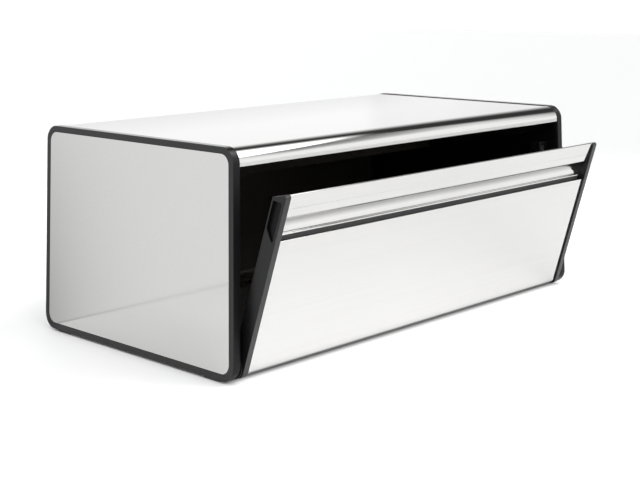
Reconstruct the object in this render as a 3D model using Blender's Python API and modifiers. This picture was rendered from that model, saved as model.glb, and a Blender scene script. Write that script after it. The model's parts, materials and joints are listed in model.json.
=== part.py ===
"""Fall-front bread bin: a folded steel shell between two moulded end caps,
with a bottom-hinged steel door.  Metres, +X along the width, front towards
-Y, +Z up.  The origin is the middle of the base panel's underside.
The door is modelled about its hinge axis and stands ajar by DOOR_AJAR."""

import math

import bmesh
import bpy
from mathutils import Matrix, Vector

# ---------------------------------------------------------------- dimensions
WIDTH = 0.4650            # over the end caps
DEPTH = 0.2500            # end cap, front to back
HEIGHT = 0.1802           # end cap, bottom to top
GAP = 0.0003              # assembly clearance between neighbouring pieces
SHEET = 0.0008            # folded steel sheet
OVERCUT = 0.0010          # cutters run at least this far past a face

CAP_T = 0.0075            # end cap thickness along X
CAP_R = 0.0132            # end cap outer corner radius
CAP_PROUD = 0.0006        # how far the end cap outline stands off the sheet
INLAY_DEPTH = 0.0010      # recess that holds the steel side panel
WEB_T = 0.0022            # end cap web behind the side panel

HINGE_SET = 0.0095        # hinge axis behind the front and above the bottom
PIN_R = 0.0020

# Half-width positions along X, mirrored by a side's sign
OUTER = WIDTH / 2                          # outer face of the end caps
INNER = OUTER - CAP_T                      # inner face of the end caps
WEB_X = OUTER - (INLAY_DEPTH + WEB_T)      # inner face of the web
CAP_MID = OUTER - CAP_T / 2

CAP_BOTTOM = -CAP_PROUD
CAP_TOP = HEIGHT - CAP_PROUD
HINGE = Vector((0.0, -DEPTH / 2 + HINGE_SET, CAP_BOTTOM + HINGE_SET))

# Base screws
SCREW_X = OUTER - 0.0107
SCREW_YS = (-0.070, 0.090)

# Catch magnets, and the strike plates they meet
MAGNET_X = 0.2187
MAGNET_HALF_X = 0.0025

SIDES = ((-1, "left"), (1, "right"))       # sign of X, name

# --------------------------------------------------------------------- scene
for old in list(bpy.data.objects):
    bpy.data.objects.remove(old, do_unlink=True)

parts = bpy.data.collections.new("bread_bin")
cutters = bpy.data.collections.new("cutters")
for collection in (parts, cutters):
    bpy.context.scene.collection.children.link(collection)

# ----------------------------------------------------------------- materials
STEEL = dict(colour=(0.78, 0.78, 0.77), roughness=0.12, metallic=1.0)
DARK = dict(colour=(0.045, 0.047, 0.050), roughness=0.42, metallic=0.0)
RUBBER = dict(colour=(0.020, 0.020, 0.021), roughness=0.80, metallic=0.0)
LINER = dict(colour=(0.030, 0.030, 0.032), roughness=0.30, metallic=0.0)
PIN = dict(colour=(0.60, 0.60, 0.59), roughness=0.30, metallic=1.0)
MAGNET = dict(colour=(0.16, 0.16, 0.17), roughness=0.45, metallic=0.6)


def material(name, colour, roughness, metallic):
    mat = bpy.data.materials.new(name)
    mat.use_nodes = True
    inputs = mat.node_tree.nodes["Principled BSDF"].inputs
    inputs["Base Color"].default_value = (*colour, 1.0)
    inputs["Roughness"].default_value = roughness
    inputs["Metallic"].default_value = metallic
    mat.diffuse_color = (*colour, 1.0)
    return mat


# ------------------------------------------------------------------ outlines
def arc(centre_y, centre_z, radius, start, end, steps):
    """Points on an arc in the YZ plane, angles in degrees from +Y to +Z."""
    angles = [math.radians(start + (end - start) * i / steps)
              for i in range(steps + 1)]
    return [(centre_y + radius * math.cos(angle), centre_z + radius * math.sin(angle))
            for angle in angles]


def filleted(corners, closed=False):
    """Round the corners of a polyline: corners are (y, z, radius, steps)."""
    points = []
    count = len(corners)
    for i, (y, z, radius, steps) in enumerate(corners):
        if radius <= 0 or (not closed and i in (0, count - 1)):
            points.append((y, z))
            continue
        corner = Vector((y, z))
        to_last = (Vector(corners[i - 1][:2]) - corner).normalized()
        to_next = (Vector(corners[(i + 1) % count][:2]) - corner).normalized()
        half = math.acos(max(-1.0, min(1.0, to_last.dot(to_next)))) / 2
        tangent = radius / math.tan(half)
        centre = corner + (to_last + to_next).normalized() * (radius / math.sin(half))
        start = corner + to_last * tangent - centre
        end = corner + to_next * tangent - centre
        start_angle = math.atan2(start.y, start.x)
        turn = math.atan2(start.x * end.y - start.y * end.x, start.dot(end))
        for k in range(steps + 1):
            angle = start_angle + turn * k / steps
            points.append((centre.x + radius * math.cos(angle),
                           centre.y + radius * math.sin(angle)))
    return points


def cap_outline(inset, radius, steps=6):
    """End cap outline, moved inwards by inset."""
    y = DEPTH / 2 - inset
    low, high = CAP_BOTTOM + inset, CAP_TOP - inset
    return filleted([(-y, low, radius, steps), (y, low, radius, steps),
                     (y, high, radius, steps), (-y, high, radius, steps)],
                    closed=True)


# -------------------------------------------------------------------- shapes
def extrude_x(shape, extruded, distance):
    """Move the vertices of a fresh extrusion along X."""
    moved = [v for v in extruded if isinstance(v, bmesh.types.BMVert)]
    bmesh.ops.translate(shape, verts=moved, vec=(distance, 0, 0))


def prism_shape(outline, x0, x1):
    """Solid with the given YZ outline between two X planes."""
    shape = bmesh.new()
    ring = [shape.verts.new((x0, y, z)) for y, z in outline]
    for i in range(len(ring)):
        shape.edges.new((ring[i], ring[(i + 1) % len(ring)]))
    face = bmesh.ops.contextual_create(shape, geom=shape.edges[:])["faces"]
    extruded = bmesh.ops.extrude_face_region(shape, geom=face)["geom"]
    extrude_x(shape, extruded, x1 - x0)
    bmesh.ops.recalc_face_normals(shape, faces=shape.faces[:])
    return shape


def block_shape(corner, opposite):
    """Box between any two opposite corners."""
    size = [abs(b - a) for a, b in zip(corner, opposite)]
    middle = [(a + b) / 2 for a, b in zip(corner, opposite)]
    shape = bmesh.new()
    bmesh.ops.create_cube(shape, size=1.0, matrix=Matrix.Translation(middle)
                          @ Matrix.Diagonal((*size, 1.0)))
    return shape


def aimed(at, axis):
    """Matrix that carries +Z onto axis and the origin to a point."""
    turn = Vector((0, 0, 1)).rotation_difference(axis).to_matrix().to_4x4()
    return Matrix.Translation(at) @ turn


def rod_shape(start, radius, length, axis, segments, end_radius=None):
    """Cylinder, or cone if end_radius is given, from start along axis."""
    axis = Vector(axis).normalized()
    middle = Vector(start) + axis * (length / 2)
    shape = bmesh.new()
    bmesh.ops.create_cone(shape, cap_ends=True, segments=segments, radius1=radius,
                          radius2=end_radius or radius, depth=length,
                          matrix=aimed(middle, axis))
    return shape


def lathe_shape(profile, at, axis, segments):
    """Solid of revolution from a profile of (along axis, radius) points.
    The profile is closed unless both its ends lie on the axis."""
    shape = bmesh.new()
    ring = [shape.verts.new((radius, 0, along)) for along, radius in profile]
    count = len(ring)
    on_axis = profile[0][1] < 1e-7 and profile[-1][1] < 1e-7
    for i in range(count - 1 if on_axis else count):
        shape.edges.new((ring[i], ring[(i + 1) % count]))
    bmesh.ops.spin(shape, geom=shape.verts[:] + shape.edges[:], cent=(0, 0, 0),
                   axis=(0, 0, 1), angle=2 * math.pi, steps=segments)
    bmesh.ops.remove_doubles(shape, verts=shape.verts[:], dist=1e-6)
    bmesh.ops.transform(shape, matrix=aimed(at, Vector(axis).normalized()),
                        verts=shape.verts[:])
    bmesh.ops.recalc_face_normals(shape, faces=shape.faces[:])
    return shape


# --------------------------------------------------------- objects, modifiers
def add(name, shape, look=None, shade=None, parent=None, group=parts):
    """Object from a bmesh; shade is the sharp-edge angle in degrees."""
    mesh = bpy.data.meshes.new(name)
    shape.to_mesh(mesh)
    shape.free()
    obj = bpy.data.objects.new(name, mesh)
    group.objects.link(obj)
    obj.parent = parent
    if look:
        mesh.materials.append(material(name + "_finish", **look))
    if shade:
        mesh.shade_smooth()
        mesh.set_sharp_from_angle(angle=math.radians(shade))
    return obj


def add_sheet(name, path, half_width, parent=None):
    """Folded steel sheet: a YZ path swept along X, then thickened."""
    shape = bmesh.new()
    line = [shape.verts.new((-half_width, y, z)) for y, z in path]
    edges = [shape.edges.new(pair) for pair in zip(line, line[1:])]
    extruded = bmesh.ops.extrude_edge_only(shape, edges=edges)["geom"]
    extrude_x(shape, extruded, 2 * half_width)
    obj = add(name, shape, STEEL, shade=30, parent=parent)
    solidify = obj.modifiers.new("thickness", "SOLIDIFY")
    solidify.thickness = SHEET
    solidify.offset = -1
    solidify.use_even_offset = True
    return obj


def bevel(obj, width, segments=2):
    rounding = obj.modifiers.new("rounding", "BEVEL")
    rounding.width = width
    rounding.segments = segments
    rounding.limit_method = "ANGLE"
    rounding.angle_limit = math.radians(50)


def boolean(obj, name, shape, kind="DIFFERENCE"):
    """Apply a hidden helper solid, which shares the object's parent."""
    tool = add(name, shape, parent=obj.parent, group=cutters)
    tool.hide_render = True
    tool.display_type = "WIRE"
    modifier = obj.modifiers.new(kind.lower(), "BOOLEAN")
    modifier.operation = kind
    modifier.solver = "EXACT"
    modifier.object = tool
    return tool


# --------------------------------------------------------------------- shell
LIP_DROP = 0.0148         # front lip height below the shell's top
LIP_FLANGE = 0.0080       # inward flange under the lip, 45 degrees
LIP_FOLD_R = 0.0008
BASE_FRONT = -0.1050      # front edge of the base panel
BASE_LIP = 0.0070         # upturned crumb lip
BASE_FOLD_R = 0.0015


def wrap_shell():
    y = DEPTH / 2 - CAP_PROUD
    top = HEIGHT - 2 * CAP_PROUD
    corner_r = CAP_R - CAP_PROUD
    lip_z = top - LIP_DROP
    path = filleted([
        (-y + LIP_FLANGE, lip_z - LIP_FLANGE, 0, 0),
        (-y, lip_z, LIP_FOLD_R, 3),
        (-y, top, corner_r, 14),
        (y, top, corner_r, 10),
        (y, 0.0, corner_r, 10),
        (BASE_FRONT, 0.0, BASE_FOLD_R, 4),
        (BASE_FRONT, BASE_LIP, 0, 0)])
    shell = add_sheet("wrap_shell", path, INNER - GAP)
    # countersunk holes for the four base screws
    for sign, _ in SIDES:
        for k, screw_y in enumerate(SCREW_YS):
            cone = rod_shape((sign * SCREW_X, screw_y, -0.0005), 0.0033, 0.0020,
                             (0, 0, 1), 20, end_radius=0.0013)
            boolean(shell, f"countersink_{sign}_{k}", cone)


# ------------------------------------------------------------------ end caps
CAP_EDGE = 0.0005         # small rounding on the moulded edges
RIM_FACE = 0.0052         # visible width of the end cap's border
INLAY_R = CAP_R - RIM_FACE + 0.001   # fuller than a concentric corner
INLAY_T = 0.0006          # steel side panel
POCKET_INSET = 0.0047     # pocket on the inside of the cap
POCKET_R = 0.0085         # corners of the pocket and of the rim's inside

HINGE_BOSS_R = 0.0072
BOSS_EMBED = 0.0006       # hinge boss sunk into the web
PIN_BORE_DEPTH = 0.0048
PIN_LENGTH = 0.0108

SPIGOT = 0.0060           # locating rim that enters the shell
SPIGOT_T = 0.0030
SPIGOT_EMBED = 0.0020     # locating rim sunk into the cap
SPIGOT_FRONT = -0.1030    # the locating rim is open in front of this

SCREW_BOSS_R, SCREW_BOSS_Z, SCREW_BOSS_H = 0.0036, 0.0016, 0.0064
SCREW_HOLE_R, SCREW_HOLE_H = 0.0016, 0.0070

FOOT_X, FOOT_Y = 0.0050, 0.0200
FOOT_DROP = 0.0016        # feet stand this far below the end caps
FOOT_SEAT = 0.0010        # depth of the foot pockets
FOOT_ENDS = (("front", -0.0980), ("rear", 0.0980))


def locating_rim(cap, sign, side):
    """Rim that enters the shell, open at the front."""
    inset = CAP_PROUD + SHEET + GAP
    rim = boolean(cap, f"rim_{side}",
                  prism_shape(cap_outline(inset, CAP_R - inset),
                              sign * (INNER + SPIGOT_EMBED), sign * (INNER - SPIGOT)),
                  "UNION")
    boolean(rim, f"rim_core_{side}",
            prism_shape(cap_outline(inset + SPIGOT_T, POCKET_R),
                        sign * (INNER + SPIGOT_EMBED + 2 * OVERCUT),
                        sign * (INNER - (SPIGOT + 2 * OVERCUT))))
    # this block only has to be larger than the rim's front
    boolean(rim, f"rim_front_{side}",
            block_shape((sign * (INNER - 0.010), -0.140, -0.020),
                        (sign * (INNER + 0.010), SPIGOT_FRONT, 0.200)))


def end_cap(sign, side):
    cap = add(f"end_cap_{side}",
              prism_shape(cap_outline(0, CAP_R, 10), sign * OUTER, sign * INNER),
              DARK, shade=30)
    bevel(cap, CAP_EDGE)
    # recess for the steel side panel
    boolean(cap, f"inlay_cut_{side}",
            prism_shape(cap_outline(RIM_FACE, INLAY_R), sign * (OUTER + OVERCUT),
                        sign * (OUTER - INLAY_DEPTH)))
    # lightening pocket on the inside
    boolean(cap, f"pocket_cut_{side}",
            prism_shape(cap_outline(POCKET_INSET, POCKET_R), sign * WEB_X,
                        sign * (INNER - 2 * OVERCUT)))
    boolean(cap, f"hinge_boss_{side}",
            rod_shape((sign * (WEB_X + BOSS_EMBED), HINGE.y, HINGE.z), HINGE_BOSS_R,
                      WEB_X - INNER + BOSS_EMBED, (-sign, 0, 0), 32), "UNION")
    locating_rim(cap, sign, side)
    # screw bosses on the bottom of the rim, then their holes
    for k, y in enumerate(SCREW_YS):
        boolean(cap, f"screw_boss_{side}_{k}",
                rod_shape((sign * SCREW_X, y, SCREW_BOSS_Z), SCREW_BOSS_R,
                          SCREW_BOSS_H, (0, 0, 1), 20), "UNION")
    for k, y in enumerate(SCREW_YS):
        boolean(cap, f"screw_hole_{side}_{k}",
                rod_shape((sign * SCREW_X, y, 0.0), SCREW_HOLE_R, SCREW_HOLE_H,
                          (0, 0, 1), 16))
    # blind bore for the hinge pin
    boolean(cap, f"pin_bore_{side}",
            rod_shape((sign * (INNER - 2 * OVERCUT), HINGE.y, HINGE.z), PIN_R + GAP,
                      PIN_BORE_DEPTH + 2 * OVERCUT, (sign, 0, 0), 24))
    # pockets for the feet
    for end, y in FOOT_ENDS:
        boolean(cap, f"foot_pocket_{side}_{end}",
                foot_shape(sign, y, GAP, CAP_BOTTOM - 2 * OVERCUT,
                           CAP_BOTTOM + FOOT_SEAT))


def side_panel(sign, side):
    """Steel panel in the end cap's recess."""
    floor = OUTER - (INLAY_DEPTH - GAP)
    add(f"side_panel_{side}",
        prism_shape(cap_outline(RIM_FACE + GAP, INLAY_R - GAP),
                    sign * floor, sign * (floor + INLAY_T)), STEEL, shade=30)


def foot_shape(sign, y, margin, bottom, top):
    """Foot block between two heights, widened all round by margin."""
    x = sign * CAP_MID
    half_x, half_y = FOOT_X / 2 + margin, FOOT_Y / 2 + margin
    return block_shape((x - half_x, y - half_y, bottom), (x + half_x, y + half_y, top))


def feet(sign, side):
    for end, y in FOOT_ENDS:
        foot = add(f"foot_{end}_{side}",
                   foot_shape(sign, y, 0, CAP_BOTTOM - FOOT_DROP,
                              CAP_BOTTOM + FOOT_SEAT - GAP), RUBBER)
        bevel(foot, 0.0004)


def hinge_pin(sign, side):
    start = (sign * (INNER + PIN_BORE_DEPTH - GAP), HINGE.y, HINGE.z)
    add(f"hinge_pin_{side}", rod_shape(start, PIN_R, PIN_LENGTH, (-sign, 0, 0), 24),
        PIN, shade=40)


# -------------------------------------------------------------- magnet catch
MAGNET_Z = 0.1330
MAGNET_HALF_Z = 0.0057
MAGNET_FRONT, MAGNET_BACK = -0.1102, -0.1058
HOLDER_X = 0.2137         # inner side of the holder
HOLDER_HALF_Z = 0.0100
HOLDER_FRONT, HOLDER_BACK = -0.1104, -0.0985


def magnet_catch(sign, side):
    """Holder on the end cap's web, behind the door's upper corner."""
    holder = add(f"magnet_holder_{side}",
                 block_shape((sign * HOLDER_X, HOLDER_FRONT, MAGNET_Z - HOLDER_HALF_Z),
                             (sign * (WEB_X - GAP), HOLDER_BACK,
                              MAGNET_Z + HOLDER_HALF_Z)), DARK)
    bevel(holder, 0.0008)

    def magnet_block(margin, front):
        x = sign * MAGNET_X
        half_x, half_z = MAGNET_HALF_X + margin, MAGNET_HALF_Z + margin
        return block_shape((x - half_x, front, MAGNET_Z - half_z),
                           (x + half_x, MAGNET_BACK + margin, MAGNET_Z + half_z))

    boolean(holder, f"magnet_pocket_{side}",
            magnet_block(GAP, HOLDER_FRONT - 0.0016))
    magnet = add(f"catch_magnet_{side}", magnet_block(0, MAGNET_FRONT), MAGNET)
    bevel(magnet, 0.0003, 1)


# --------------------------------------------------------------- base screws
# Countersunk head, then shank: (height above the underside, radius)
BASE_SCREW = [(0.0001, 0.0), (0.0001, 0.00265), (0.0014, 0.00125),
              (0.0063, 0.00125), (0.0067, 0.0008), (0.0067, 0.0)]


def base_screws(sign, side):
    for end, y in zip(("front", "rear"), SCREW_YS):
        add(f"base_screw_{end}_{side}",
            lathe_shape(BASE_SCREW, (sign * SCREW_X, y, 0.0), (0, 0, 1), 16),
            PIN, shade=40)


# ---------------------------------------------------------------------- door
# All door positions are measured from the hinge axis, with the door upright.
DOOR_AJAR = math.radians(19.0)
DOOR_X = OUTER - 0.0107   # outer side of the door end caps
PANEL_X = DOOR_X - 0.0061            # inner side of the door end caps
DOOR_FRONT = -HINGE_SET
DOOR_REAR = DOOR_FRONT + 0.0140
DOOR_TOP = 0.1496         # top front edge
DOOR_TOP_REAR = 0.1420
DOOR_FOOT_R = 0.0078      # rounding of the door end cap's bottom
TOP_EDGE_R = 0.0008

PANEL_FRONT = DOOR_FRONT + 0.0015    # the door end caps stand proud of it
PANEL_FOOT_R = 0.0065     # rounding of the steel panel's bottom
PANEL_TOP = 0.1122        # flat panel ends here, grip rail above it
PANEL_FOLD_Z = PANEL_TOP - 0.0020
PANEL_FOLD = 0.0022       # rearward fold along the panel's top

TONGUE = 0.0085           # reach of the tongue inside PANEL_X
TONGUE_BOTTOM, TONGUE_TOP = 0.0120, 0.1050

BUSH_R = 0.0036
BUSH_FLANGE_R = 0.0086    # closes the gap beside the door's foot
BUSH_FLANGE_T = 0.0013
BUSH_LENGTH = 0.0056      # including the flange
BUSH_BORE_DEPTH = 0.0048

RECESS_DEPTH = 0.0022     # finger recess in the door end cap
RECESS_FRONT = DOOR_FRONT + 0.0026
RECESS_REAR = DOOR_REAR - 0.0017
RECESS_TOP = DOOR_TOP_REAR - 0.0020  # at the rear

STRIKE_BOTTOM, STRIKE_TOP = 0.1170, 0.1310
STRIKE_DEPTH = 0.0009     # front face of the plate, ahead of the door's rear

DOOR_SCREW_X = PANEL_X - 0.0048
DOOR_SCREWS = (("lower", 0.022), ("upper", 0.096))
DOOR_SHANK = 0.0056
# Shank, then head: (distance rearward, radius)
DOOR_SCREW = [(0.0, 0.0), (0.0, 0.0011), (DOOR_SHANK, 0.0011),
              (DOOR_SHANK, 0.0024), (0.0060, 0.0024), (0.0066, 0.0019),
              (0.0068, 0.0010), (0.0068, 0.0)]

# Grip rail section, (behind the door's front, above PANEL_TOP): a groove
# behind the panel's top edge, a rounded hem over it, the finger scoop, the
# upper band and the sloping return that closes the top of the door.
GRIP_OUTER = (
    filleted([(0.0052, -0.0010, 0, 0), (0.0052, 0.0046, 0.0006, 2),
              (0.0010, 0.0046, 0.00085, 3), (0.0010, 0.0056, 0, 0)])
    + arc(0.0050, 0.0024, 0.0050, 136, 92, 5)
    + [(0.0053, 0.0074)]
    + arc(-0.0126, 0.0084, 0.0179, 0, 32, 6)
    # the first point repeats the arc's end, so it is dropped
    + filleted([(0.00258, 0.01789, 0, 0), (0.0014, 0.0368, 0.0010, 5),
                (0.0129, 0.0304, 0.0008, 3), (0.0129, 0.0238, 0, 0)])[1:])
GRIP_INNER = ([(0.0121, 0.0238), (0.0121, 0.02993), (0.0023, 0.0354),
               (0.0034, 0.0186)]
              + arc(-0.0126, 0.0084, 0.0187, 31, 0, 5) + [(0.0060, -0.0010)])


def door_hinge():
    """Empty on the hinge axis that carries the door."""
    empty = bpy.data.objects.new("door_hinge", None)
    parts.objects.link(empty)
    empty.location = HINGE
    empty.rotation_euler = (DOOR_AJAR, 0.0, 0.0)
    return empty


def front_panel(hinge):
    """Flat front panel with its bottom rolled under the door."""
    foot = arc(PANEL_FRONT + PANEL_FOOT_R, -0.0005, PANEL_FOOT_R, 285, 180, 12)
    # the first point only gives the fillet its direction
    upright = filleted([(PANEL_FRONT, 0.0, 0, 0),
                        (PANEL_FRONT, PANEL_FOLD_Z, 0.0007, 3),
                        (PANEL_FRONT + PANEL_FOLD, PANEL_FOLD_Z, 0, 0)])[1:]
    add_sheet("door_front_panel", foot + upright, PANEL_X - GAP, parent=hinge)


def grip_rail(hinge):
    outline = [(DOOR_FRONT + behind, PANEL_TOP + above)
               for behind, above in GRIP_OUTER + GRIP_INNER]
    add("door_grip_rail", prism_shape(outline, -PANEL_X + GAP, PANEL_X - GAP),
        STEEL, shade=30, parent=hinge)


def inner_panel(hinge):
    """Panel at the back of the door, with its four screw holes."""
    liner = add("door_inner_panel",
                block_shape((-PANEL_X + GAP, DOOR_REAR - SHEET, 0.0040),
                            (PANEL_X - GAP, DOOR_REAR, DOOR_TOP_REAR - 0.0004)),
                LINER, parent=hinge)
    for sign, side in SIDES:
        for end, z in DOOR_SCREWS:
            boolean(liner, f"liner_hole_{end}_{side}",
                    door_screw_hole(sign, z, 0.0030))


def door_screw_hole(sign, z, length):
    """Cutter that enters the door from the rear."""
    return rod_shape((sign * DOOR_SCREW_X, DOOR_REAR + OVERCUT, z), 0.0014, length,
                     (0, -1, 0), 16)


def strike_block(sign, margin, rear):
    """Strike plate block, enlarged by margin on all sides but the rear."""
    half_x = MAGNET_HALF_X + margin
    return block_shape((sign * (MAGNET_X - half_x), DOOR_REAR - STRIKE_DEPTH - margin,
                        STRIKE_BOTTOM - margin),
                       (sign * (MAGNET_X + half_x), rear, STRIKE_TOP + margin))


def door_cap(hinge, sign, side):
    outline = (arc(DOOR_FRONT + DOOR_FOOT_R, 0, DOOR_FOOT_R, 180, 282, 12)
               + filleted([(DOOR_REAR, 0.0, 0, 0),
                           (DOOR_REAR, DOOR_TOP_REAR, TOP_EDGE_R, 3),
                           (DOOR_FRONT, DOOR_TOP, TOP_EDGE_R, 3),
                           (DOOR_FRONT, 0.010, 0, 0)]))
    cap = add(f"door_end_cap_{side}",
              prism_shape(outline, sign * DOOR_X, sign * PANEL_X),
              DARK, shade=30, parent=hinge)
    bevel(cap, 0.0004)
    # tongue between the steel panel and the inner panel
    boolean(cap, f"tongue_{side}",
            block_shape((sign * (PANEL_X + 0.002), PANEL_FRONT + SHEET + GAP,
                         TONGUE_BOTTOM),
                        (sign * (PANEL_X - TONGUE), DOOR_REAR - SHEET - GAP,
                         TONGUE_TOP)), "UNION")
    boolean(cap, f"bush_bore_{side}",
            rod_shape((sign * (DOOR_X + OVERCUT), 0, 0), BUSH_R + GAP,
                      BUSH_BORE_DEPTH + OVERCUT, (-sign, 0, 0), 28))
    # moulded finger recess on the outer side, near the top
    recess = filleted([(RECESS_REAR, RECESS_TOP, 0.0008, 2),
                       (RECESS_FRONT, RECESS_TOP + 0.0016, 0.0012, 2),
                       (RECESS_FRONT, 0.1085, 0.0012, 3),
                       (RECESS_REAR, 0.1165, 0.0060, 6)], closed=True)
    boolean(cap, f"recess_cut_{side}",
            prism_shape(recess, sign * (DOOR_X + OVERCUT),
                        sign * (DOOR_X - RECESS_DEPTH)))
    # shallow seat in the back face for the strike plate
    boolean(cap, f"strike_seat_{side}", strike_block(sign, GAP, DOOR_REAR + OVERCUT))
    # pilot holes for the inner panel's screws
    for k, (_, z) in enumerate(DOOR_SCREWS):
        boolean(cap, f"pilot_{side}_{k}", door_screw_hole(sign, z, 0.0068))


def hinge_bush(hinge, sign, side):
    """Flanged bush around the hinge pin."""
    bore_r = PIN_R + GAP
    profile = [(0.0, bore_r), (0.0, BUSH_FLANGE_R), (BUSH_FLANGE_T, BUSH_FLANGE_R),
               (BUSH_FLANGE_T, BUSH_R), (BUSH_LENGTH, BUSH_R), (BUSH_LENGTH, bore_r)]
    start = (sign * (DOOR_X + GAP + BUSH_FLANGE_T), 0, 0)
    add(f"hinge_bush_{side}", lathe_shape(profile, start, (-sign, 0, 0), 28),
        DARK, shade=40, parent=hinge)


def strike_plate(hinge, sign, side):
    """Steel plate facing the magnet, just below the door's rear face."""
    plate = add(f"strike_plate_{side}", strike_block(sign, 0, DOOR_REAR - 0.0001),
                PIN, parent=hinge)
    bevel(plate, 0.0002, 1)


def door_screws(hinge, sign, side):
    for end, z in DOOR_SCREWS:
        start = (sign * DOOR_SCREW_X, DOOR_REAR + GAP - DOOR_SHANK, z)
        add(f"door_screw_{end}_{side}", lathe_shape(DOOR_SCREW, start, (0, 1, 0), 16),
            PIN, shade=40, parent=hinge)


# ------------------------------------------------------------------ assembly
wrap_shell()
for side_pair in SIDES:
    for build in (end_cap, side_panel, feet, hinge_pin, magnet_catch, base_screws):
        build(*side_pair)

door = door_hinge()
for build in (front_panel, grip_rail, inner_panel):
    build(door)
for side_pair in SIDES:
    for build in (door_cap, hinge_bush, strike_plate, door_screws):
        build(door, *side_pair)
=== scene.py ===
"""Looks for the fall-front bread bin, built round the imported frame."""
import json
import math

import bpy
import bmesh
from mathutils import Matrix, Vector

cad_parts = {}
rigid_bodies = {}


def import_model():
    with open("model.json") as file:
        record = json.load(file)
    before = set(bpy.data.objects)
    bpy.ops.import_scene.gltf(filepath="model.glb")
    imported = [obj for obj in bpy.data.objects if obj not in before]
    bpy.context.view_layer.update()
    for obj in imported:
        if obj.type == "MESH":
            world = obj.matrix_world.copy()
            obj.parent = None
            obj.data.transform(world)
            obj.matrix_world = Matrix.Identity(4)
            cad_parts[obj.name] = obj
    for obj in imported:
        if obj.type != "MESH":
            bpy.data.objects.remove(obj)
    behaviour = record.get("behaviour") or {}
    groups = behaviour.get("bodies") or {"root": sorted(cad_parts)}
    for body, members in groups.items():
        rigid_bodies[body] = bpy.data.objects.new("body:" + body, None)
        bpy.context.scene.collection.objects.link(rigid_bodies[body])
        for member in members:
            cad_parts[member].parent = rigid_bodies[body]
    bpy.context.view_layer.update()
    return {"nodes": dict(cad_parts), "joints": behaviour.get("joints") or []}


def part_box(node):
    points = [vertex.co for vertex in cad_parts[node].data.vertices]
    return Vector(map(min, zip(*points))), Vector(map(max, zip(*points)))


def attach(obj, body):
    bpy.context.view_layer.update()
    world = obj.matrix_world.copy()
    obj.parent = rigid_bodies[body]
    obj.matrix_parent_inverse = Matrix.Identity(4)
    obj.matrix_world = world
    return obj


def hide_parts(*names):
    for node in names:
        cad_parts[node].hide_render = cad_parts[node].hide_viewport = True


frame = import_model()
nodes = frame["nodes"]

# --------------------------------------------------------------- dimensions
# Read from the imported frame, so that every piece sits where the CAD says.
lo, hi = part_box("end_cap_left")
Z0, Z1 = lo.z, hi.z
DEPTH = hi.y - lo.y
X_OUT = -lo.x
s_lo, s_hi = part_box("wrap_shell")
SHELL_TOP = s_hi.z
SHELL_Y = s_hi.y
INNER = s_hi.x + 0.0003
PROUD = DEPTH / 2 - SHELL_Y
joint = frame["joints"][0]
HINGE = Vector(joint["pos_m"])
AJAR = math.radians(-joint["range_deg"][0])
p_lo, p_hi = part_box("door_front_panel")
PANEL_X = p_hi.x + 0.0003
d_lo, d_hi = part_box("door_end_cap_right")
DOOR_X = d_hi.x

SHEET = 0.0008
GAP = 0.0003
CAP_R = 0.0132
RIM_FACE = 0.0052
INLAY_DEPTH = 0.0010
WEB_T = 0.0022
LIP_DROP = 0.0148
LIP_FLANGE = 0.0080
BASE_FRONT = -0.1050
BASE_LIP = 0.0070
HINGE_SET = 0.0095
DOOR_T = 0.0140
DOOR_TOP = 0.1496
DOOR_TOP_REAR = 0.1420
STRIP_PROUD = 0.0015
DOOR_FOOT_R = 0.0078
PANEL_FOOT_R = 0.0065
PANEL_TOP = 0.1122
SCREW_X = X_OUT - 0.0107
SCREW_YS = (-0.070, 0.090)

FRONT = -HINGE_SET
REAR = FRONT + DOOR_T
STEEL_FRONT = FRONT + STRIP_PROUD
TO_DOOR = Matrix.Translation(HINGE) @ Matrix.Rotation(AJAR, 4, "X")

scene = bpy.context.scene
pieces = bpy.data.collections.new("looks")
tools = bpy.data.collections.new("looks_cutters")
scene.collection.children.link(pieces)
scene.collection.children.link(tools)


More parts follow.
